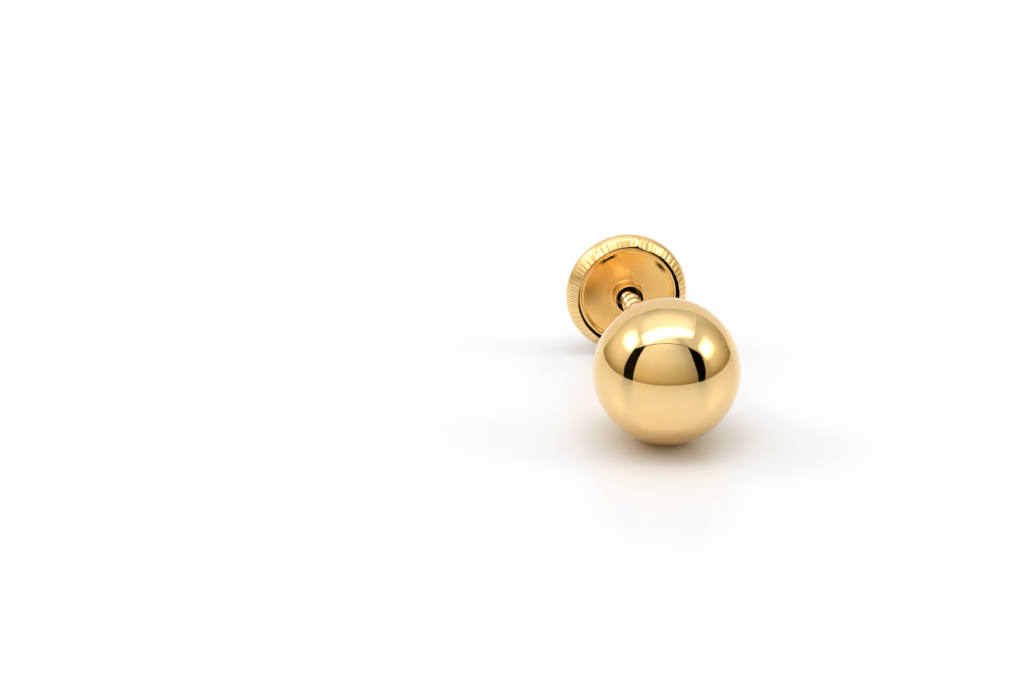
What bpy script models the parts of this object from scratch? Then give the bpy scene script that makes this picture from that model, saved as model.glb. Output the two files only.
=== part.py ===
"""Ball stud earring with a screw back, as it lies on a table.

A polished ball is soldered to a threaded post. The screw back is a shallow domed cap whose
rim is folded over a sunk front plate and coined with flutes, and a threaded barrel inside
it runs on the post. The stud lies on its ball and on the rim of the screw back, so its axis
slopes a little, from the ball at -Y down to the screw back at +Y. Units are metres.
"""
import math

import bmesh
import bpy
from mathutils import Matrix, Vector

# Ball and post
BALL_RADIUS = 0.0035
EAR_GAP = 0.0074             # from the back of the ball to the front of the rim
SOLDER_RADIUS = 0.00035      # fillet of solder between ball and post
POST_RADIUS = 0.0005         # over the crests of the thread
THREAD_DEPTH = 0.00009
THREAD_PITCH = 0.0007
THREAD_LENGTH = 0.005
TIP_CHAMFER = 0.00012
TIP_CLEARANCE = 0.0005       # between the post's end and the inside of the dome

# Screw back: cap with a folded rim
CAP_RADIUS = 0.00308
CAP_DEPTH = 0.0022           # from the front of the rim to the top of the dome
CAP_WALL = 0.0002
RIM_SET_BACK = 0.00045       # widest circle, behind the front of the rim
FOLD_WIDTH = 0.00051         # from the widest circle in to the edge of the fold
FLUTES = 65
FLUTE_DEPTH = 0.00005
SCALLOP_DEPTH = 0.000005     # left by the flutes on the lip and the dome

# Screw back: front plate
PLATE_WALL = 0.0002
PLATE_CLEARANCE = 0.0001     # to the cap all round
RING_WIDTH = 0.00022         # flat raised ring inside the fold
RING_RISE = 0.0001
RING_GAP = 0.00007           # dark line between the ring and the fold
RING_STEP = 0.00006          # slope of the ring's inner side
FLOOR_EDGE_DEPTH = 0.00016   # floor of the plate below the ring, beside its step
FLOOR_DEPTH = 0.00014        # floor below the ring at the neck, so it swells very slightly
HOLE_CLEARANCE = 0.000175    # round the post
NECK_RISE = 0.0006           # edge of the neck round the hole, in front of the ring
NECK_WALL = 0.00007
NECK_FILLET = 0.00012        # at the foot of the neck

# Screw back: barrel that runs on the thread
THREAD_CLEARANCE = 0.00005
BARREL_WALL = 0.0003
BARREL_SEAT_GAP = 0.00005    # behind the plate
BARREL_OVERRUN = 0.00005     # past the post's end

# Facets
BALL_SIDES = 40
BALL_RINGS = 24
THREAD_ROWS_PER_TURN = 5
PLATE_SIDES = 48
BARREL_SIDES = 24
DOME_RINGS = 7
INNER_DOME_RINGS = 4
LIP_RINGS = 5
FLUTED_RINGS = 3             # of the lip, at the edge of the fold
FILLET_RINGS = 3
MERGE = 1e-7

# Places along the stud's axis, from the ball's centre
RIM_Z = BALL_RADIUS + EAR_GAP
WIDEST_Z = RIM_Z + RIM_SET_BACK
TIP_Z = RIM_Z + CAP_DEPTH - CAP_WALL - TIP_CLEARANCE
PLATE_Z = RIM_Z + CAP_WALL + PLATE_CLEARANCE
RING_Z = PLATE_Z - RING_RISE

# Radii about the stud's axis
FOLD_EDGE_RADIUS = CAP_RADIUS - FOLD_WIDTH
INNER_WALL_RADIUS = CAP_RADIUS - CAP_WALL
PLATE_RADIUS = INNER_WALL_RADIUS - PLATE_CLEARANCE
RING_RADIUS = FOLD_EDGE_RADIUS - RING_GAP
HOLE_RADIUS = POST_RADIUS + HOLE_CLEARANCE
BARREL_BORE_RADIUS = POST_RADIUS + THREAD_CLEARANCE


def clear_scene():
    for item in list(bpy.data.objects):
        bpy.data.objects.remove(item, do_unlink=True)


def gold(name, colour, roughness):
    """A Principled gold of the given linear colour and roughness."""
    material = bpy.data.materials.new(name)
    material.use_nodes = True
    shader = material.node_tree.nodes["Principled BSDF"]
    shader.inputs["Base Color"].default_value = (*colour, 1.0)
    shader.inputs["Metallic"].default_value = 1.0
    shader.inputs["Roughness"].default_value = roughness
    return material


def ellipse_arc(centre_z, centre_r, half_z, half_r, start, end, steps):
    """Points (radius, place along the axis) of an arc; angles count from the +radius side to +Z."""
    points = []
    for i in range(steps + 1):
        angle = start + (end - start) * i / steps
        points.append((centre_r + half_r * math.cos(angle), centre_z + half_z * math.sin(angle)))
    return points


def turned(name, outline, sides, material, relief=None):
    """Spins an outline of (radius, z) about +Z into a closed solid.

    An outline that starts and ends on the axis makes a full solid, and any other is joined
    end to start and makes a ring. relief(radius, z, angle, place) gives a point's new radius
    and z, where place is its number in the outline.
    """
    ring = outline[0][0] > MERGE or outline[-1][0] > MERGE
    half_step = math.pi / sides
    mesh = bpy.data.meshes.new(name)
    body = bmesh.new()
    place_layer = body.verts.layers.int.new("place")
    first = []
    for place, (radius, z) in enumerate(outline):
        vertex = body.verts.new((radius * math.cos(half_step), radius * math.sin(half_step), z))
        vertex[place_layer] = place
        first.append(vertex)
    edges = [body.edges.new(pair) for pair in zip(first, first[1:])]
    if ring:
        edges.append(body.edges.new((first[-1], first[0])))
    bmesh.ops.spin(
        body, geom=first + edges, cent=(0, 0, 0), axis=(0, 0, 1), angle=2 * math.pi, steps=sides
    )
    bmesh.ops.remove_doubles(body, verts=body.verts[:], dist=MERGE)
    if relief:
        for vertex in body.verts:
            radius = math.hypot(vertex.co.x, vertex.co.y)
            if radius < MERGE:
                continue
            angle = math.atan2(vertex.co.y, vertex.co.x)
            new_radius, z = relief(radius, vertex.co.z, angle, vertex[place_layer])
            vertex.co = Vector((new_radius * math.cos(angle), new_radius * math.sin(angle), z))
    bmesh.ops.triangulate(body, faces=body.faces[:])
    bmesh.ops.recalc_face_normals(body, faces=body.faces[:])
    body.to_mesh(mesh)
    body.free()
    mesh.shade_smooth()
    mesh.set_sharp_from_angle(angle=math.radians(35))
    mesh.materials.append(material)
    item = bpy.data.objects.new(name, mesh)
    bpy.context.scene.collection.objects.link(item)
    return item


def ball_and_post(material):
    """Ball, fillet of solder and threaded post, soldered into one solid."""
    root_radius = POST_RADIUS - THREAD_DEPTH
    fillet_centre = root_radius + SOLDER_RADIUS
    reach = BALL_RADIUS + SOLDER_RADIUS
    fillet_z = math.sqrt(reach ** 2 - fillet_centre ** 2)
    touch = math.acos(fillet_centre / reach)

    outline = ellipse_arc(0, 0, BALL_RADIUS, BALL_RADIUS, -math.pi / 2, touch, BALL_RINGS)
    fillet = ellipse_arc(fillet_z, fillet_centre, SOLDER_RADIUS, SOLDER_RADIUS,
                         math.pi + touch, math.pi, 3)
    outline += fillet[1:]
    thread_start = TIP_Z - THREAD_LENGTH
    thread_end = TIP_Z - TIP_CHAMFER
    rows = round((thread_end - thread_start) / THREAD_PITCH * THREAD_ROWS_PER_TURN)
    for i in range(rows + 1):
        outline.append((root_radius, thread_start + (thread_end - thread_start) * i / rows))
    outline += [(root_radius - TIP_CHAMFER / 2, TIP_Z), (0.0, TIP_Z)]
    outline[0] = (0.0, -BALL_RADIUS)

    def thread(radius, z, angle, place):
        if not thread_start < z <= thread_end:
            return radius, z
        run_out = min(1.0, (z - thread_start) / THREAD_PITCH)
        turn = z / THREAD_PITCH - angle / (2 * math.pi)
        crest = 0.5 + 0.5 * math.cos(2 * math.pi * turn)
        return radius + THREAD_DEPTH * crest * run_out, z

    return turned("ball_and_post", outline, BALL_SIDES, material, thread)


def back_cap(material):
    """Domed cap, closed behind, whose rim is folded in over the plate and coined with flutes."""
    dome_half = CAP_DEPTH - RIM_SET_BACK
    quarter = math.pi / 2

    dome = ellipse_arc(WIDEST_Z, 0, dome_half, CAP_RADIUS, quarter, 0, DOME_RINGS)
    lip = ellipse_arc(WIDEST_Z, FOLD_EDGE_RADIUS, RIM_SET_BACK, FOLD_WIDTH, 0, -quarter, LIP_RINGS)
    inside = [
        (FOLD_EDGE_RADIUS, RIM_Z + CAP_WALL),
        (INNER_WALL_RADIUS - CAP_WALL / 2, RIM_Z + CAP_WALL),
        (INNER_WALL_RADIUS, RIM_Z + 1.5 * CAP_WALL),
    ]
    inner_dome = ellipse_arc(WIDEST_Z, 0, dome_half - CAP_WALL, INNER_WALL_RADIUS,
                             0, quarter, INNER_DOME_RINGS)
    outline = dome + lip[1:] + inside + inner_dome
    outline[0] = (0.0, RIM_Z + CAP_DEPTH)
    outline[-1] = (0.0, RIM_Z + CAP_DEPTH - CAP_WALL)
    fold_edge = len(dome) + LIP_RINGS - 1

    def flutes(radius, z, angle, place):
        number = round(angle / (2 * math.pi) * 2 * FLUTES - 0.5)
        if place > fold_edge or number % 2 == 0:
            return radius, z
        if place <= fold_edge - FLUTED_RINGS:
            return radius - SCALLOP_DEPTH, z
        uneven = 0.7 + 0.3 * math.sin(2.4 * number) * math.cos(0.9 * number)
        return radius, z + FLUTE_DEPTH * uneven

    return turned("back_cap", outline, 2 * FLUTES, material, flutes)


def back_plate(material):
    """Sheet with a flat raised ring, a sunk floor and a short neck drawn up round the hole."""
    ring_inner = RING_RADIUS - RING_WIDTH
    floor_outer = ring_inner - RING_STEP
    floor_edge_z = RING_Z + FLOOR_EDGE_DEPTH
    floor_z = RING_Z + FLOOR_DEPTH
    neck_z = RING_Z - NECK_RISE
    neck_radius = HOLE_RADIUS + NECK_WALL

    ring = [
        (PLATE_RADIUS, PLATE_Z),
        (RING_RADIUS, PLATE_Z),
        (RING_RADIUS, RING_Z),
        (ring_inner, RING_Z),
        (floor_outer, floor_edge_z),
    ]
    fillet = ellipse_arc(floor_z - NECK_FILLET, neck_radius + NECK_FILLET,
                         NECK_FILLET, NECK_FILLET, math.pi / 2, math.pi, FILLET_RINGS)
    neck = [(neck_radius, neck_z), (HOLE_RADIUS, neck_z)]
    back = [
        (HOLE_RADIUS, floor_z + PLATE_WALL),
        (neck_radius + NECK_FILLET, floor_z + PLATE_WALL),
        (floor_outer, floor_edge_z + PLATE_WALL),
        (PLATE_RADIUS, floor_edge_z + PLATE_WALL),
    ]
    return turned("back_plate", ring + fillet + neck + back, PLATE_SIDES, material)


def threaded_barrel(material):
    """Plain barrel inside the cap that carries the screw back on the post's thread."""
    start = RING_Z + FLOOR_DEPTH + PLATE_WALL + BARREL_SEAT_GAP
    end = TIP_Z + BARREL_OVERRUN
    outer = BARREL_BORE_RADIUS + BARREL_WALL
    outline = [(BARREL_BORE_RADIUS, start), (outer, start), (outer, end), (BARREL_BORE_RADIUS, end)]
    return turned("threaded_barrel", outline, BARREL_SIDES, material)


def rest_slope():
    """Slope of the axis when the ball and the widest circle of the cap both touch the table."""
    reach = math.hypot(WIDEST_Z, CAP_RADIUS)
    return math.atan2(WIDEST_Z, CAP_RADIUS) - math.acos(BALL_RADIUS / reach)


def lay_down(pieces):
    """Hangs the pieces on an empty at the ball's centre, whose +Z runs along the post."""
    slope = rest_slope()
    back_y = (RIM_Z + CAP_DEPTH) * math.cos(slope)
    axis = bpy.data.objects.new("stud_axis", None)
    bpy.context.scene.collection.objects.link(axis)
    axis.location = Vector((0, (BALL_RADIUS - back_y) / 2, BALL_RADIUS))
    axis.rotation_euler = (-(math.pi / 2 + slope), 0, 0)
    for piece in pieces:
        piece.parent = axis
        piece.matrix_parent_inverse = Matrix.Identity(4)


def build():
    clear_scene()
    polished = gold("polished yellow gold", (0.78, 0.52, 0.20), 0.06)
    coined = gold("coined yellow gold", (0.78, 0.53, 0.23), 0.16)
    satin = gold("satin yellow gold", (0.76, 0.50, 0.19), 0.24)
    plain = gold("plain yellow gold", (0.70, 0.46, 0.18), 0.35)
    lay_down([
        ball_and_post(polished),
        back_cap(coined),
        back_plate(satin),
        threaded_barrel(plain),
    ])
    bpy.context.view_layer.update()


build()
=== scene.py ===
"""Dresses one ball stud earring with a screw back, as it lies unworn on a pale table."""
import math

import bpy
import numpy as np
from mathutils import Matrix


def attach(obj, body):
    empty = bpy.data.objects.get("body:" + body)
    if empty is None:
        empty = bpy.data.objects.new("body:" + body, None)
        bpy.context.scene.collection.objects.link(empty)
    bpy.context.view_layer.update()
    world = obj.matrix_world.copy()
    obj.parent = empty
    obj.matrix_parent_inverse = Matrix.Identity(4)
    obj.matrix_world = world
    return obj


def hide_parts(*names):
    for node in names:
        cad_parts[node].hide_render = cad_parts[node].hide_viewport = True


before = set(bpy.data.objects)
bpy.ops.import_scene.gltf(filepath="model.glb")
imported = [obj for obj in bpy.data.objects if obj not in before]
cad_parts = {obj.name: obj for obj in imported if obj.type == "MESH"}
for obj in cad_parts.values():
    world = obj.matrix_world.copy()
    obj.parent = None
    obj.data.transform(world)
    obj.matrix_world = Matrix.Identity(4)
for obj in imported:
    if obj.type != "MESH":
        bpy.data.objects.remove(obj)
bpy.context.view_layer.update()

# Ball. Two pressed half balls of 18-carat yellow gold, soldered and then polished on a felt
# wheel until the seam is gone. Every other piece is placed from the ball's centre, along the
# axis of its post, which slopes down to the rim of the screw back.
MM = 0.001
BALL_RADIUS = 3.5
BALL_CENTRE_Y = -4.7955
AXIS_SLOPE = math.radians(2.13145)
BALL_ROWS = 150
BALL_COLUMNS = 200


def in_place(radius, angle, along):
    """Points of the part in metres, from millimetres about the stud's axis.

    radius and angle are taken about the axis, with angle 0 to +X and a quarter turn
    downwards, and along is the distance from the ball's centre towards the screw back.
    """
    across = radius * np.cos(angle)
    down = radius * np.sin(angle)
    along = along + 0 * across
    return MM * np.stack([
        across,
        BALL_CENTRE_Y - down * math.sin(AXIS_SLOPE) + along * math.cos(AXIS_SLOPE),
        BALL_RADIUS - down * math.cos(AXIS_SLOPE) - along * math.sin(AXIS_SLOPE),
    ], axis=-1)


def turned_skin(name, radius, angle, along, loop=False):
    """A closed smooth mesh from a grid of points about the axis, one row per step of a profile.

    Each row runs once round the axis. The rows run anticlockwise in the plane of radius and
    distance along, which makes the faces point outwards. With loop the last row joins the
    first, and otherwise each end row is drawn together into one point on the axis.
    """
    radius, angle, along = np.broadcast_arrays(radius, angle, along)
    points = in_place(radius, angle, along).reshape(-1, 3)
    rows, columns = radius.shape
    here = np.arange(rows * columns).reshape(rows, columns)
    beside = np.roll(here, -1, axis=1)
    if loop:
        here = np.vstack([here, here[:1]])
        beside = np.vstack([beside, beside[:1]])
    quads = np.stack([here[:-1], beside[:-1], beside[1:], here[1:]], axis=-1).reshape(-1, 4)
    corners = quads.ravel()
    starts = np.arange(len(quads)) * 4
    if not loop:
        ends = in_place(np.zeros(2), 0.0, np.array([along[0].mean(), along[-1].mean()]))
        points = np.vstack([points, ends])
        first = np.stack([beside[0], here[0], np.full(columns, rows * columns)], axis=-1)
        last = np.stack([here[-1], beside[-1], np.full(columns, rows * columns + 1)], axis=-1)
        fans = np.vstack([first, last])
        starts = np.concatenate([starts, len(corners) + 3 * np.arange(len(fans))])
        corners = np.concatenate([corners, fans.ravel()])
    mesh = bpy.data.meshes.new(name)
    mesh.vertices.add(len(points))
    mesh.vertices.foreach_set("co", points.astype(np.float32).ravel())
    mesh.loops.add(len(corners))
    mesh.loops.foreach_set("vertex_index", corners.astype(np.int32))
    mesh.polygons.add(len(starts))
    mesh.polygons.foreach_set("loop_start", starts.astype(np.int32))
    mesh.update(calc_edges=True)
    mesh.shade_smooth()
    piece = bpy.data.objects.new(name, mesh)
    bpy.context.scene.collection.objects.link(piece)
    return piece


def linear(colour):
    """An sRGB hex colour as linear RGBA: below 0.04045 a straight line, above it a power."""
    parts = [int(colour[i:i + 2], 16) / 255 for i in (1, 3, 5)]
    return [p / 12.92 if p <= 0.04045 else ((p + 0.055) / 1.055) ** 2.4 for p in parts] + [1.0]


def node(tree, kind, settings, links=None):
    """Adds a node of a kind with its settings and the sockets that feed it, and returns it.

    Both are keyed by name or by an input's number. "stops" is a ramp's list of places and
    hex colours.
    """
    made = tree.nodes.new(kind)
    for name, value in settings.items():
        if name == "stops":
            for place, colour in value[1:-1]:
                made.color_ramp.elements.new(place).color = linear(colour)
            for end, (place, colour) in ((0, value[0]), (-1, value[-1])):
                made.color_ramp.elements[end].position = place
                made.color_ramp.elements[end].color = linear(colour)
        elif isinstance(name, int) or name in made.inputs:
            made.inputs[name].default_value = value
        else:
            setattr(made, name, value)
    for name, socket in (links or {}).items():
        tree.links.new(socket, made.inputs[name])
    return made


def new_gold(name):
    """A new metallic material, its node tree and shader, and its Object coordinates."""
    material = bpy.data.materials.new(name)
    material.use_nodes = True
    tree = material.node_tree
    shader = tree.nodes["Principled BSDF"]
    shader.inputs["Metallic"].default_value = 1.0
    place = tree.nodes.new("ShaderNodeTexCoord").outputs["Object"]
    return material, tree, shader, place


def wear(piece, material, body, slot, *nodes):
    """Dresses a piece in its material and lets it stand for CAD nodes on a body."""
    piece.data.materials.append(material)
    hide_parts(*nodes)
    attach(piece, body)


# 18-carat gold, mirror polished: clean reflections, paler at the edge, with a breath of
# haze where the felt wheel last passed.
mirror_gold, tree, shader, place = new_gold("18-carat gold, mirror polished")
cloud = node(tree, "ShaderNodeTexNoise", {"Scale": 420.0, "Detail": 2.0}, {"Vector": place})
haze = node(tree, "ShaderNodeMapRange", {"To Min": 0.03, "To Max": 0.065},
            {"Value": cloud.outputs["Fac"]})
tone = node(tree, "ShaderNodeValToRGB", {"stops": [(0.35, "#F5D193"), (0.65, "#F7D598")]},
            {"Fac": cloud.outputs["Fac"]})
tree.links.new(haze.outputs["Result"], shader.inputs["Roughness"])
tree.links.new(tone.outputs["Color"], shader.inputs["Base Color"])

rise = np.linspace(-math.pi / 2, math.pi / 2, BALL_ROWS + 1)[1:-1, None]
turn = np.linspace(0, 2 * math.pi, BALL_COLUMNS, endpoint=False)[None, :]
ball = turned_skin("polished_ball", BALL_RADIUS * np.cos(rise), turn,
                   BALL_RADIUS * np.sin(rise))
wear(ball, mirror_gold, "stud", "polished_gold", "ball_and_post")

# Post. Drawn gold wire with a thread rolled into its last 5 mm, soldered to the back of the
# ball with a small fillet. Its end is chamfered and sits inside the screw back.
POST_CORE = 0.41
THREAD_DEPTH = 0.13
ROOT_DEPTH = 0.04
THREAD_PITCH = 0.7
THREAD_START = 7.4
ROOT_FROM = 0.82
FLANK = 0.64
POST_END = 12.4
END_RADIUS = 0.2
CHAMFER = 0.12
SOLDER = 0.35
HIDDEN_START = (3.2, 3.3)
HIDDEN_RADIUS = 0.3
PLAIN_WIRE = (4.2, 7.2)
PLAIN_ROWS = 8
POST_COLUMNS = 120
ROWS_PER_TURN = 24
ROOT_SHADE = 0.6

fillet_centre = POST_CORE + SOLDER
fillet_along = math.sqrt((BALL_RADIUS + SOLDER) ** 2 - fillet_centre ** 2)
sweep = np.linspace(math.pi + math.acos(fillet_centre / (BALL_RADIUS + SOLDER)), math.pi, 10)
flare_radius = fillet_centre + SOLDER * np.cos(sweep)
flare_along = fillet_along + SOLDER * np.sin(sweep)
thread_end = POST_END - CHAMFER
turns = (thread_end - THREAD_START) / THREAD_PITCH
thread_along = np.linspace(THREAD_START, thread_end, round(turns * ROWS_PER_TURN))
radius = np.concatenate([
    [HIDDEN_RADIUS, flare_radius[0]], flare_radius, np.full(PLAIN_ROWS, POST_CORE),
    np.full(len(thread_along), POST_CORE), [POST_CORE - CHAMFER / 2, END_RADIUS],
])[:, None]
along = np.concatenate([
    HIDDEN_START, flare_along, np.linspace(*PLAIN_WIRE, PLAIN_ROWS),
    thread_along, [POST_END, POST_END],
])[:, None]
turn = np.linspace(0, 2 * math.pi, POST_COLUMNS, endpoint=False)[None, :]
# A rolled thread: straight flanks between a narrow crest and a narrow root, which lies under
# the drawn wire's surface, one turn right-handed for each pitch, fading in over one turn.
winding = along / THREAD_PITCH - turn / (2 * math.pi)
crest = np.clip((ROOT_FROM - 2 * np.abs(winding % 1 - 0.5)) / FLANK, 0, 1)
cut = np.clip((along - THREAD_START) / THREAD_PITCH, 0, 1) * (along <= thread_end)
radius = radius + (THREAD_DEPTH * crest - ROOT_DEPTH) * cut
post = turned_skin("threaded_post", radius, turn, along)


def paint_shade(piece, amounts):
    """Gives each point of a grid mesh how much painted shade darkens it there, 0 to 1."""
    values = np.zeros(len(piece.data.vertices), dtype=np.float32)
    values[:amounts.size] = np.clip(amounts, 0, 1).ravel()
    piece.data.attributes.new("paste", "FLOAT", "POINT").data.foreach_set("value", values)


def with_painted_shade(tree, shader, tone, haze):
    """Links a gold's colour and roughness to its shader, darkened and dulled by painted shade.
    """
    paste = node(tree, "ShaderNodeAttribute", {"attribute_name": "paste"}).outputs["Fac"]
    # Painted shade: a dark brown is mixed into the gold's colour where shade falls.
    colour = node(tree, "ShaderNodeMix", {"data_type": "RGBA", 7: linear("#1C0E04")},
                  {"Factor": paste, 6: tone})
    rough = node(tree, "ShaderNodeMix", {"B": 0.6}, {"Factor": paste, "A": haze})
    tree.links.new(colour.outputs[2], shader.inputs["Base Color"])
    tree.links.new(rough.outputs["Result"], shader.inputs["Roughness"])


# Painted shade darkens the root of the thread.
paint_shade(post, ROOT_SHADE * cut * np.exp(-(crest / 0.15) ** 2))

# 18-carat gold wire, drawn and thread-rolled: bright but not a mirror, with fine marks along
# the wire.
wire_gold, tree, shader, place = new_gold("18-carat gold wire, drawn and rolled")
marks = node(tree, "ShaderNodeMapping", {"Scale": (14000.0, 700.0, 14000.0)}, {"Vector": place})
grain = node(tree, "ShaderNodeTexNoise", {"Scale": 1.0, "Detail": 3.0},
             {"Vector": marks.outputs["Vector"]})
haze = node(tree, "ShaderNodeMapRange", {"To Min": 0.1, "To Max": 0.16},
            {"Value": grain.outputs["Fac"]})
tone = node(tree, "ShaderNodeValToRGB", {"stops": [(0.3, "#F8D69C"), (0.7, "#FBDDA8")]},
            {"Fac": grain.outputs["Fac"]})
with_painted_shade(tree, shader, tone.outputs["Color"], haze.outputs["Result"])
wear(post, wire_gold, "stud", "polished_gold", "ball_and_post")

# Cap of the screw back. A disc of gold sheet pressed into a low dome, its rim folded in over
# the front plate and coined all round, which leaves 65 uneven flutes on the fold. The fold's
# inner edge wanders a little and is nicked where the coining tool slipped.
RIM = 10.9
CAP_RADIUS = 3.06
CAP_DEPTH = 2.2
CAP_WALL = 0.2
WIDEST = RIM + 0.62
FOLD_EDGE = 2.57
FOLD_ROUND = 0.04
# The fold's inner corner: how far it lies behind the rim's plane, and how deep it is rounded.
CORNER_BACK = 0.078
CORNER_DEPTH = 0.06
# The fold from its inner edge out: a straight band at about 45 degrees that takes the flutes,
# and a shoulder that steepens to the widest circle. Distances out from the edge and back from
# the front.
FOLD_OUT = (0.06, 0.1, 0.2, 0.3, 0.36, 0.4, 0.44, 0.47, 0.49)
FOLD_BACK = (0.026, 0.065, 0.164, 0.265, 0.33, 0.4, 0.48, 0.55, 0.62)
FOLD_ROWS = 33
BAND_END = 0.36
FLUTES_END = 0.46
FLUTES_FADE = 0.14
# The hidden side of the fold: radii, and distances back from the rim's plane.
UNDER_RADIUS = (2.88, 2.76, FOLD_EDGE + 0.1)
UNDER_BACK = (0.55, 0.36, CAP_WALL)
FLUTES = 65
COLUMNS_PER_FLUTE = 20
FLUTE_DEPTH = 0.05

lots = np.random.default_rng(7)
middle = (np.arange(FLUTES) + 0.5) * 2 * math.pi / FLUTES
quarter = math.pi / 2


def near(angle, centre, width):
    """A smooth hump of height 1 about a direction, all in degrees."""
    away = (np.degrees(angle) - centre + 180) % 360 - 180
    return np.exp(-(away / width) ** 2)


# Flutes are narrow and faint on the -X side, broad on top, deepest at the upper +X side.
breadth = (1 - 0.42 * near(middle, 180, 34)) * lots.uniform(0.72, 1.3, FLUTES)
edges = np.concatenate([[0.0], np.cumsum(breadth)]) * 2 * math.pi / breadth.sum()
spread = 0.5 - 0.5 * np.cos(math.pi * np.arange(COLUMNS_PER_FLUTE) / COLUMNS_PER_FLUTE)
turn = (edges[:-1, None] + np.diff(edges)[:, None] * spread).ravel()[None, :]
share = np.tile(2 * spread - 1, FLUTES)[None, :]
depth = 0.4 + 0.35 * near(middle, 325, 45) - 0.15 * near(middle, 180, 40)
depth = np.repeat(depth * lots.uniform(0.5, 1.15, FLUTES), COLUMNS_PER_FLUTE)[None, :]
tilt = np.repeat(lots.normal(0, 0.2, FLUTES), COLUMNS_PER_FLUTE)[None, :]
groove = np.repeat(lots.uniform(0.15, 1.0, FLUTES), COLUMNS_PER_FLUTE)[None, :]
# Across a flute the surface falls as the square of the distance from its middle, leans by
# its own tilt, and drops into a thin groove at both of its edges.
cleft = groove * np.abs(share) ** 8
fall = depth * (0.45 * share ** 2 + tilt * share + cleft)

# The fold's inner edge wanders in slow waves, and has humps and nicks at single directions.
wander = (0.025 * np.cos(turn) + 0.012 * np.sin(3 * turn + 1.0) + 0.008 * np.sin(7 * turn)
          + 0.006 * np.sin(17 * turn + 2)
          + 0.04 * near(turn, 280, 6) - 0.05 * near(turn, 291, 6)
          + 0.08 * near(turn, 280, 1.0) + 0.03 * near(turn, 309, 1.2)
          + 0.03 * near(turn, 313, 0.9) + 0.04 * near(turn, 347, 1.3))
# The band is steeper than 45 degrees at the upper -X side and flatter on top, by these slopes.
steeper = 0.4 * near(turn, 213, 24) - 0.17 * near(turn, 266, 18)

inner = np.linspace(quarter, 0, 9)[1:]
fold_corner = np.linspace(math.pi, 1.6 * math.pi, 6)
fold_step = np.linspace(0, len(FOLD_OUT) - 1, FOLD_ROWS)
fold_out = np.interp(fold_step, range(len(FOLD_OUT)), FOLD_OUT)[:, None]
fold_back = np.interp(fold_step, range(len(FOLD_BACK)), FOLD_BACK)
dome = np.linspace(0, quarter, 19)[1:-1]
dome_depth = RIM + CAP_DEPTH - WIDEST
profile_radius = np.concatenate([
    UNDER_RADIUS[0] * np.cos(inner), UNDER_RADIUS,
    FOLD_EDGE + FOLD_ROUND + 0 * fold_corner,
    FOLD_EDGE + fold_out[:, 0],
    CAP_RADIUS * np.cos(dome),
])[:, None]
profile_along = np.concatenate([
    WIDEST + (dome_depth - CAP_WALL) * np.sin(inner), np.add(RIM, UNDER_BACK),
    RIM + CORNER_BACK + 0 * fold_corner,
    RIM + fold_back,
    WIDEST + dome_depth * np.sin(dome),
])[:, None]
first_corner = len(inner) + len(UNDER_RADIUS)
corner_rows = slice(first_corner, first_corner + len(fold_corner))
band_rows = slice(corner_rows.stop, corner_rows.stop + len(fold_out))
radius = profile_radius + 0 * turn
along = profile_along + 0 * turn
# The rounded corner goes in and out with the wandering edge. The flutes run from it to the
# shoulder, and the steeper and flatter stretches hinge on the straight band's outer end.
fluted = np.clip((FLUTES_END - fold_out) / FLUTES_FADE, 0, 1)
radius[corner_rows] += FOLD_ROUND * np.cos(fold_corner)[:, None] + wander
along[corner_rows] += (CORNER_DEPTH * np.sin(fold_corner)[:, None] + FLUTE_DEPTH * fall
                       - steeper * (BAND_END - FOLD_OUT[0]))
radius[band_rows] += wander * (1 - fold_out / (CAP_RADIUS - FOLD_EDGE))
along[band_rows] += FLUTE_DEPTH * fall * fluted - steeper * np.clip(BAND_END - fold_out, 0, 1)
cap = turned_skin("coined_cap", radius, turn, along)
# Painted shade darkens the inside, the cut edge of the fold, and thinly the grooves.
cut_edge = first_corner + 2
paste = np.zeros(radius.shape)
paste[:cut_edge] = 1.0
paste[cut_edge] = 0.5
paste[band_rows] = 0.7 * cleft * (0.4 + depth) * fluted
paint_shade(cap, paste)

# 18-carat gold sheet, pressed and coined: bright lands with the small dents and drag marks of
# the coining tool, darkened and dulled in the grooves by painted shade.
coined_gold, tree, shader, place = new_gold("18-carat gold sheet, pressed and coined")
dents = node(tree, "ShaderNodeTexNoise", {"Scale": 5200.0, "Detail": 3.0, "Roughness": 0.55},
             {"Vector": place})
cloud = node(tree, "ShaderNodeTexNoise", {"Scale": 900.0, "Detail": 2.0}, {"Vector": place})
haze = node(tree, "ShaderNodeMapRange", {"To Min": 0.16, "To Max": 0.28},
            {"Value": cloud.outputs["Fac"]})
tone = node(tree, "ShaderNodeValToRGB", {"stops": [(0.3, "#F5CB86"), (0.7, "#FBDA9E")]},
            {"Fac": cloud.outputs["Fac"]})
relief = node(tree, "ShaderNodeBump", {"Strength": 0.35, "Distance": 0.000005},
              {"Height": dents.outputs["Fac"]})
with_painted_shade(tree, shader, tone.outputs["Color"], haze.outputs["Result"])
tree.links.new(relief.outputs["Normal"], shader.inputs["Normal"])
wear(cap, coined_gold, "screw_back", "coined_gold", "back_cap")

# Front plate of the screw back. A disc of gold sheet, stamped with a raised ring round a
# nearly flat floor, whose middle is drawn forward into a short neck round the hole. The folded
# rim of the cap holds it all round.
PLATE_RADIUS = 2.68
PLATE_BACK = RIM + 0.56
FLANGE = RIM + 0.27
RING_TOP = RIM + 0.2
RING_OUTER = 2.49
RING_INNER = 2.26
FLOOR_OUTER = 2.2
FLOOR = RIM + 0.34
FLOOR_SWELL = 0.024
NECK_EDGE = RIM - 0.4
NECK_WALL = 0.07
NECK_FILLET = 0.12
HOLE = 0.675
SHEET = 0.2
PLATE_COLUMNS = 480

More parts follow.
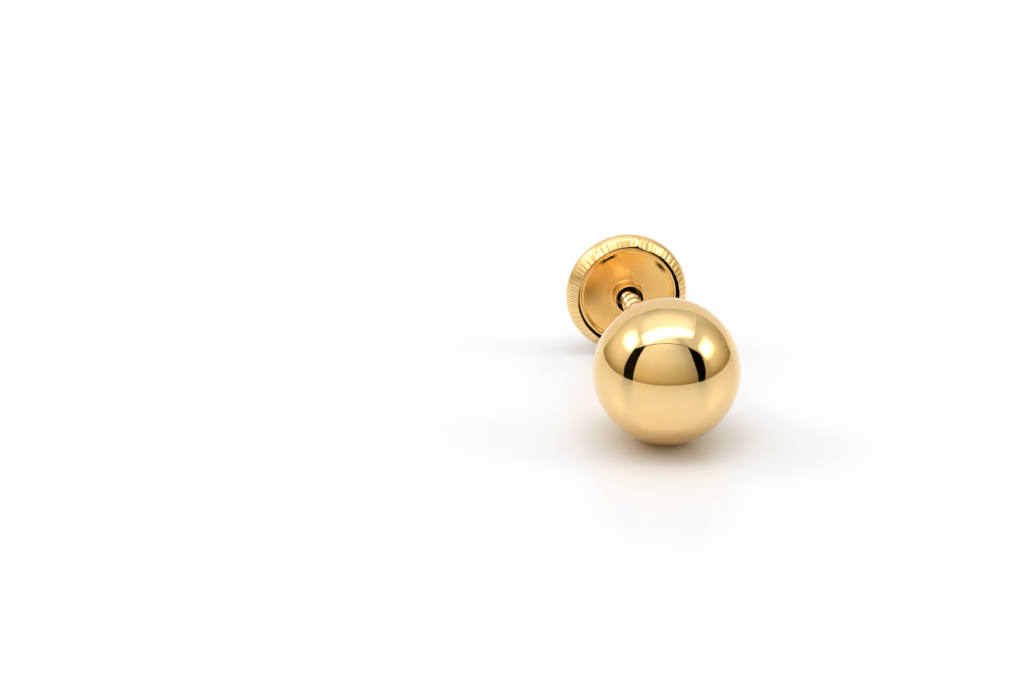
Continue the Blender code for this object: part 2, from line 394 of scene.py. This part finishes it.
neck_radius = HOLE + NECK_WALL
neck_edge = np.linspace(0, math.pi, 9)
neck_along = np.linspace(NECK_EDGE + NECK_WALL, FLOOR - NECK_FILLET, 6)[:-1]
fillet = np.linspace(math.pi, quarter, 12)
floor_radius = np.append(np.linspace(neck_radius + NECK_FILLET, FLOOR_OUTER - 0.05, 13)[1:],
                         [FLOOR_OUTER - 0.035, FLOOR_OUTER])
ring_share = np.linspace(-1, 1, 11)
ring_radius = (RING_OUTER + RING_INNER) / 2 + (RING_OUTER - RING_INNER) / 2 * ring_share
profile = np.concatenate([
    # Bore of the neck, its rounded edge, its outside, and the fillet at its foot.
    [(HOLE, NECK_EDGE + 0.3), (HOLE, NECK_EDGE + 0.15)],
    np.stack([HOLE + NECK_WALL / 2 * (1 - np.cos(neck_edge)),
              NECK_EDGE + NECK_WALL / 2 * (1 - np.sin(neck_edge))], axis=-1),
    np.stack([neck_radius + 0 * neck_along, neck_along], axis=-1),
    np.stack([neck_radius + NECK_FILLET * (1 + np.cos(fillet)),
              FLOOR - NECK_FILLET * (1 - np.sin(fillet))], axis=-1),
    # Floor, which falls away from the neck as the square of the radius.
    np.stack([floor_radius, FLOOR + FLOOR_SWELL * (floor_radius / FLOOR_OUTER) ** 2], axis=-1),
    # Step, and the ring, whose top is rounded as the square of the distance from its middle.
    [(FLOOR_OUTER + 0.015, RING_TOP + 0.1), (RING_INNER - 0.01, RING_TOP + 0.045)],
    np.stack([ring_radius, RING_TOP + 0.03 * ring_share ** 2], axis=-1),
    # Flange, and the back of the sheet.
    [(RING_OUTER + 0.005, FLANGE),
     (FOLD_EDGE + 0.02, FLANGE + 0.03), (PLATE_RADIUS, FLANGE + 0.03),
     (PLATE_RADIUS, PLATE_BACK), (FLOOR_OUTER, PLATE_BACK),
     (neck_radius + NECK_FILLET, FLOOR + SHEET), (HOLE, FLOOR + SHEET)],
])
turn = np.linspace(0, 2 * math.pi, PLATE_COLUMNS, endpoint=False)[None, :]
plate = turned_skin("front_plate", profile[:, :1], turn, profile[:, 1:], loop=True)
plate.data.set_sharp_from_angle(angle=math.radians(50))
# Painted shade darkens the bore, the back, between ring and fold, and two places along the
# step inside the ring.
hidden = (profile[:, 0] > RING_OUTER + 0.001) | (profile[:, 0] < HOLE + 0.002)
hidden[-4:] = True
shaded_step = (np.abs(profile[:, 0] - FLOOR_OUTER - 0.015) < 0.075)[:, None]
# Each streak of painted shade is a hump about a direction, with its foot cut off so that it
# ends short.
shade_streaks = 2.6 * near(turn, 243, 12) + 1.6 * near(turn, 320, 13) - 0.7
paint_shade(plate, hidden[:, None] + shaded_step * np.clip(shade_streaks, 0, 1))

# 18-carat gold sheet, stamped: the floor is nearly a mirror, slightly veiled by the stamp and
# its faint turned rings, duller where the neck was drawn, and the ring is rubbed bright.
stamped_gold, tree, shader, place = new_gold("18-carat gold sheet, stamped satin")
centred = node(tree, "ShaderNodeMapping", {
    "vector_type": "TEXTURE",
    "Location": tuple(in_place(np.zeros(1), 0.0, np.array([RIM]))[0]),
    "Rotation": (-(quarter + AXIS_SLOPE), 0, 0),
}, {"Vector": place})
spot = node(tree, "ShaderNodeSeparateXYZ", {}, {"Vector": centred.outputs["Vector"]})
flat = node(tree, "ShaderNodeCombineXYZ", {}, {"X": spot.outputs["X"], "Y": spot.outputs["Y"]})
out = node(tree, "ShaderNodeVectorMath", {"operation": "LENGTH"}, {0: flat.outputs["Vector"]})
lines = node(tree, "ShaderNodeTexNoise", {"noise_dimensions": "1D", "Scale": 16000.0},
             {"W": out.outputs["Value"]})
cloud = node(tree, "ShaderNodeTexNoise", {"Scale": 1100.0, "Detail": 3.0}, {"Vector": place})
on_ring = node(tree, "ShaderNodeMapRange", {
    "From Min": (FLOOR_OUTER - 0.02) * MM, "From Max": (FLOOR_OUTER + 0.02) * MM,
}, {"Value": out.outputs["Value"]})
satin = node(tree, "ShaderNodeMapRange", {"To Min": 0.11, "To Max": 0.18},
             {"Value": cloud.outputs["Fac"]})
by_neck = node(tree, "ShaderNodeMapRange", {"From Min": 1.9 * MM, "From Max": 1.1 * MM},
               {"Value": out.outputs["Value"]})
dull = node(tree, "ShaderNodeMix", {"B": 0.32},
            {"Factor": by_neck.outputs["Result"], "A": satin.outputs["Result"]})
haze = node(tree, "ShaderNodeMix", {"B": 0.06},
            {"Factor": on_ring.outputs["Result"], "A": dull.outputs["Result"]})
tone = node(tree, "ShaderNodeValToRGB", {"stops": [(0.3, "#FDCB76"), (0.7, "#FFD588")]},
            {"Fac": cloud.outputs["Fac"]})
relief = node(tree, "ShaderNodeBump", {"Strength": 0.1, "Distance": 0.000002},
              {"Height": lines.outputs["Fac"]})
with_painted_shade(tree, shader, tone.outputs["Color"], haze.outputs["Result"])
tree.links.new(relief.outputs["Normal"], shader.inputs["Normal"])
wear(plate, stamped_gold, "screw_back", "satin_gold", "back_plate")

# Barrel. A short turned gold tube, threaded inside, that carries the screw back on the post.
# It is hidden in the cap, and the CAD node is its true shape.
turned_gold, tree, shader, place = new_gold("18-carat gold tube, turned")
cloud = node(tree, "ShaderNodeTexNoise", {"Scale": 2500.0, "Detail": 2.0}, {"Vector": place})
haze = node(tree, "ShaderNodeMapRange", {"To Min": 0.22, "To Max": 0.36},
            {"Value": cloud.outputs["Fac"]})
tone = node(tree, "ShaderNodeValToRGB", {"stops": [(0.3, "#E9BC78"), (0.7, "#F1CA8C")]},
            {"Fac": cloud.outputs["Fac"]})
tree.links.new(haze.outputs["Result"], shader.inputs["Roughness"])
tree.links.new(tone.outputs["Color"], shader.inputs["Base Color"])
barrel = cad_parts["threaded_barrel"]
barrel.data.materials.clear()
barrel.data.materials.append(turned_gold)

# Camera. It looks down at the stud from its ball's end, a little to the left of its axis.
LOOKS_DOWN = 21.84
LOOKS_RIGHT = 7.66

view = bpy.data.cameras.new("view")
view.lens = 118.5
view.sensor_width = 36.0
view.clip_start = 0.01
view.clip_end = 5.0
camera = bpy.data.objects.new("camera", view)
camera.location = (-0.026859, -0.149724, 0.064012)
camera.rotation_euler = (math.radians(90 - LOOKS_DOWN), 0, math.radians(-LOOKS_RIGHT))
bpy.context.scene.collection.objects.link(camera)
bpy.context.scene.camera = camera
bpy.context.scene.view_settings.view_transform = "Standard"

# Table. A white acrylic sheet, cast and laid flat, with a soft gloss that gives a faint
# reflection of the gold. The stud lies on it on its ball and on the rim of its screw back.
HALF = 1.5

table_mesh = bpy.data.meshes.new("table")
table_corners = [(-HALF, -HALF, 0), (HALF, -HALF, 0), (HALF, HALF, 0), (-HALF, HALF, 0)]
table_mesh.from_pydata(table_corners, [], [(0, 1, 2, 3)])
table = bpy.data.objects.new("table", table_mesh)
bpy.context.scene.collection.objects.link(table)
acrylic = bpy.data.materials.new("white acrylic sheet")
acrylic.use_nodes = True
tree = acrylic.node_tree
shader = tree.nodes["Principled BSDF"]
place = node(tree, "ShaderNodeTexCoord", {}).outputs["Object"]
cloud = node(tree, "ShaderNodeTexNoise", {"Scale": 60.0}, {"Vector": place})
haze = node(tree, "ShaderNodeMapRange", {"To Min": 0.22, "To Max": 0.26},
            {"Value": cloud.outputs["Fac"]})
# Painted light: the sheet's colour is paler away from the ball, and a painted warm glow below
# it stands in for the light off the gold.
centred = node(tree, "ShaderNodeMapping", {"Location": (0, -BALL_CENTRE_Y * MM, 0)},
               {"Vector": place})
away = node(tree, "ShaderNodeVectorMath", {"operation": "LENGTH"},
            {0: centred.outputs["Vector"]})
painted_glow_reach = node(tree, "ShaderNodeMapRange", {"From Max": 0.09}, {"Value": away.outputs["Value"]})
tone = node(tree, "ShaderNodeValToRGB", {"stops": [
    (0.0, "#F0DDC0"), (0.014, "#EFECEA"), (0.05, "#EEF0F5"), (0.16, "#EBEFF6"),
    (1.0, "#F7F8FB")]}, {"Fac": painted_glow_reach.outputs["Result"]})
tree.links.new(tone.outputs["Color"], shader.inputs["Base Color"])
tree.links.new(haze.outputs["Result"], shader.inputs["Roughness"])
table_mesh.materials.append(acrylic)

# Studio. A pale tent, warm near the table, with a wide softbox overhead and a smaller light
# on each side, two black flags beside the camera, and a white board behind the stud. Angles
# are seen from the ball: azimuth from the camera's side to the right, elevation upwards.
CAMERA_HEADING = math.radians(10.5)
CARD_DISTANCE = 0.5


def studio_points(azimuth, elevation):
    """Points on a sphere about the ball, in metres, at angles in degrees."""
    azimuth, elevation = np.broadcast_arrays(np.radians(azimuth), np.radians(elevation))
    right = np.cos(elevation) * np.sin(azimuth)
    front = np.cos(elevation) * np.cos(azimuth)
    way = np.stack([
        right * math.cos(CAMERA_HEADING) - front * math.sin(CAMERA_HEADING),
        -right * math.sin(CAMERA_HEADING) - front * math.cos(CAMERA_HEADING),
        np.sin(elevation),
    ], axis=-1)
    return way * CARD_DISTANCE + in_place(np.zeros(1), 0.0, np.zeros(1))[0]


def card(name, points, colour, strength=1.0):
    """A sheet on a grid of points that glows, evenly or by a strength for each point.

    The camera doesn't see it.
    """
    rows, columns = points.shape[:2]
    here = np.arange(rows * columns).reshape(rows, columns)
    faces = np.stack([here[:-1, :-1], here[:-1, 1:], here[1:, 1:], here[1:, :-1]], axis=-1)
    mesh = bpy.data.meshes.new(name)
    mesh.from_pydata(points.reshape(-1, 3).tolist(), [], faces.reshape(-1, 4).tolist())
    level = np.broadcast_to(np.float32(strength), (rows, columns)).ravel()
    mesh.attributes.new("level", "FLOAT", "POINT").data.foreach_set("value", level)
    glow = bpy.data.materials.new(name)
    glow.use_nodes = True
    glow.node_tree.nodes.clear()
    power = node(glow.node_tree, "ShaderNodeAttribute", {"attribute_name": "level"})
    light = node(glow.node_tree, "ShaderNodeEmission", {"Color": linear(colour)},
                 {"Strength": power.outputs["Fac"]})
    node(glow.node_tree, "ShaderNodeOutputMaterial", {},
         {"Surface": light.outputs["Emission"]})
    mesh.materials.append(glow)
    sheet = bpy.data.objects.new(name, mesh)
    sheet.visible_camera = False
    bpy.context.scene.collection.objects.link(sheet)


def overhead(right, front):
    """Points level with the overhead softbox, right and front of the ball in its heights."""
    azimuth = np.degrees(np.arctan2(right, front))
    elevation = np.degrees(np.arctan2(1.0, np.hypot(right, front)))
    return studio_points(azimuth, elevation)


def smooth(share):
    """A soft step from 0 to 1: three times the square of a share, less twice its cube."""
    return (3 - 2 * share) * share ** 2


def between(first, second):
    """A grid of two columns of points."""
    return np.stack([first, second], axis=1)


# The softbox glows fully between two slanting edges, comes up softly over its front edge and
# towards its ends, and spills over the cloth behind it.
box_share = np.linspace(0, 1, 24)[None, :]
box_right = -0.7 + 1.38 * box_share
box_front = np.minimum(0.54 - 0.42 * box_share, 0.44)
box_back = 0.02 - 0.19 * box_share
front = box_front + (-1.02 - box_front) * np.linspace(0, 1, 70)[:, None]
rise = np.clip((box_front - front) / 0.14, 0, 1)
drop = np.clip((box_back + 0.04 - front) / 0.08, 0, 1)
fade = np.clip((-0.2 - front) / 0.8, 0, 1)
from_side = np.clip(np.minimum(box_share, 1 - box_share) / 0.16, 0, 1)
spill = (1.35 - 0.7 * smooth(fade)) * (1 + 0.1 * box_right)
spill = 0.9 + (spill - 0.9) * from_side
lit = 1.0 + 2.6 * smooth(rise) * (0.35 + 0.65 * from_side)
card("overhead_softbox", overhead(box_right, front), "#FBFCFF", lit + (spill - lit) * drop)

# The flags stand upright. Their edges are azimuths that change with the elevation.
heights = np.linspace(-0.4, 53, 18)
left_inner = np.interp(heights, [0, 25, 53], [-52, -53.5, -55])
left_outer = np.interp(heights, [0, 12, 40, 53], [-69, -72, -72, -56.5])
right_inner = np.interp(heights, [0, 30, 53], [50, 49.5, 53])
right_outer = np.interp(heights, [0, 10, 25, 31, 35, 40, 45, 53],
                        [61, 65, 68, 69, 68.5, 66, 62, 54])
card("left_flag", between(studio_points(left_outer, heights),
                          studio_points(left_inner, heights)), "#1A1408")
card("right_flag", between(studio_points(right_inner, heights),
                           studio_points(right_outer, heights)), "#060502")

# The tent's cloth ends in front of the softbox in a thin brown edge. The board's top is
# uneven, and its thickness shows as a darker edge.
sides = np.linspace(-0.99, 0.66, 24)
card("backdrop_edge", np.stack([overhead(sides, 0.468), overhead(sides, 0.443)]), "#6E5223")
sides = np.linspace(130, 230, 41)
board_top = np.interp(sides, [130, 140, 150, 160, 170, 180, 195, 210, 220, 230],
                      [3, 13, 28, 38, 43, 45, 42, 38, 28, 20])
board_foot, board_head, board_rim = (
    studio_points(sides, elevation) for elevation in (0.0, board_top, board_top + 1.2))
card("board_behind", np.stack([board_foot, board_head]), "#F0ECE6")
card("board_edge", np.stack([board_head, board_rim]), "#93815F")

world = bpy.data.worlds.new("studio tent")
bpy.context.scene.world = world
world.use_nodes = True
tree = world.node_tree
tree.nodes.clear()
place = node(tree, "ShaderNodeTexCoord", {}).outputs["Generated"]
facing = node(tree, "ShaderNodeVectorRotate",
              {"rotation_type": "Z_AXIS", "Angle": CAMERA_HEADING}, {"Vector": place})
way = node(tree, "ShaderNodeSeparateXYZ", {}, {"Vector": facing.outputs["Vector"]})
front = node(tree, "ShaderNodeMath", {"operation": "MULTIPLY", 1: -1.0}, {0: way.outputs["Y"]})
azimuth = node(tree, "ShaderNodeMath", {"operation": "ARCTAN2"},
               {0: way.outputs["X"], 1: front.outputs["Value"]})
elevation = node(tree, "ShaderNodeMath", {"operation": "ARCSINE"}, {0: way.outputs["Z"]})
up = node(tree, "ShaderNodeMath", {"operation": "DIVIDE", 1: quarter},
          {0: elevation.outputs["Value"]})
# The ramp holds half the tent's brightness, because it goes up to twice the white of paper.
tent = node(tree, "ShaderNodeValToRGB", {"stops": [
    (0.0, "#837350"), (0.1, "#A29676"), (0.18, "#A79B82"), (0.26, "#AEA691"),
    (0.33, "#B3AE9D"), (0.41, "#BBB7AE"), (0.5, "#BDBBB4"), (0.6, "#C0BFBC"),
    (0.7, "#D0CFCD"), (0.82, "#E8E7E5"), (1.0, "#F3F2F0")]}, {"Fac": up.outputs["Value"]})
round_share = node(tree, "ShaderNodeMath",
                   {"operation": "MULTIPLY_ADD", 1: 1 / (2 * math.pi), 2: 0.5},
                   {0: azimuth.outputs["Value"]})
# Brightness round the tent, from straight behind through the left, the front and the right.
shade = node(tree, "ShaderNodeValToRGB", {"stops": [
    (0.0, "#F0F0F0"), (0.15, "#DEDEDE"), (0.29, "#DEDEDE"), (0.36, "#FFFFFF"),
    (0.42, "#FFFFFF"), (0.5, "#F1F1F1"), (0.585, "#DADADA"), (0.62, "#C0C0C0"),
    (0.64, "#B8B8B8"), (0.68, "#DADADA"), (0.8, "#E0E0E0"), (0.87, "#D0D0D0"),
    (0.92, "#E4E4E4"), (1.0, "#F0F0F0")]}, {"Fac": round_share.outputs["Value"]})
walls = node(tree, "ShaderNodeMix", {"data_type": "RGBA", "blend_type": "MULTIPLY", 0: 1.0},
             {6: tent.outputs["Color"], 7: shade.outputs["Color"]})
total = node(tree, "ShaderNodeBackground", {"Strength": 2.0}, {"Color": walls.outputs[2]})
# Each side light is a bright core in a wide glow on the cloth. A row gives its strength, the
# azimuths where it starts, is full, is still full and ends, and the same for its elevations.
SIDE_LIGHTS = [
    (3.0, (-120, -96, -84, -72), (28, 38, 42, 54)),
    (0.38, (-150, -108, -92, -60), (0, 22, 36, 62)),
    (3.0, (70, 79, 86, 112), (20, 34, 36, 46)),
    (0.38, (70, 84, 90, 135), (2, 24, 34, 52)),
]
for strength, sideways, upwards in SIDE_LIGHTS:
    power = None
    for angle, (start, full, still, end) in ((azimuth, sideways), (elevation, upwards)):
        for edge, inside in ((start, full), (end, still)):
            side = node(tree, "ShaderNodeMapRange", {
                "interpolation_type": "SMOOTHSTEP", "From Min": math.radians(edge),
                "From Max": math.radians(inside)}, {"Value": angle.outputs["Value"]})
            if power is None:
                power = node(tree, "ShaderNodeMath", {"operation": "MULTIPLY", 1: strength},
                             {0: side.outputs["Result"]})
            else:
                power = node(tree, "ShaderNodeMath", {"operation": "MULTIPLY"},
                             {0: power.outputs["Value"], 1: side.outputs["Result"]})
    lamp = node(tree, "ShaderNodeBackground", {"Color": linear("#FFFFFF")},
                {"Strength": power.outputs["Value"]})
    total = node(tree, "ShaderNodeAddShader", {}, {0: total.outputs[0], 1: lamp.outputs[0]})
# The camera sees plain white past the table's edge.
plain = node(tree, "ShaderNodeBackground", {"Color": linear("#FFFFFF"), "Strength": 1.0})
seen = node(tree, "ShaderNodeLightPath", {})
shown = node(tree, "ShaderNodeMixShader", {}, {
    "Fac": seen.outputs["Is Camera Ray"], 1: total.outputs[0], 2: plain.outputs[0]})
node(tree, "ShaderNodeOutputWorld", {}, {"Surface": shown.outputs[0]})
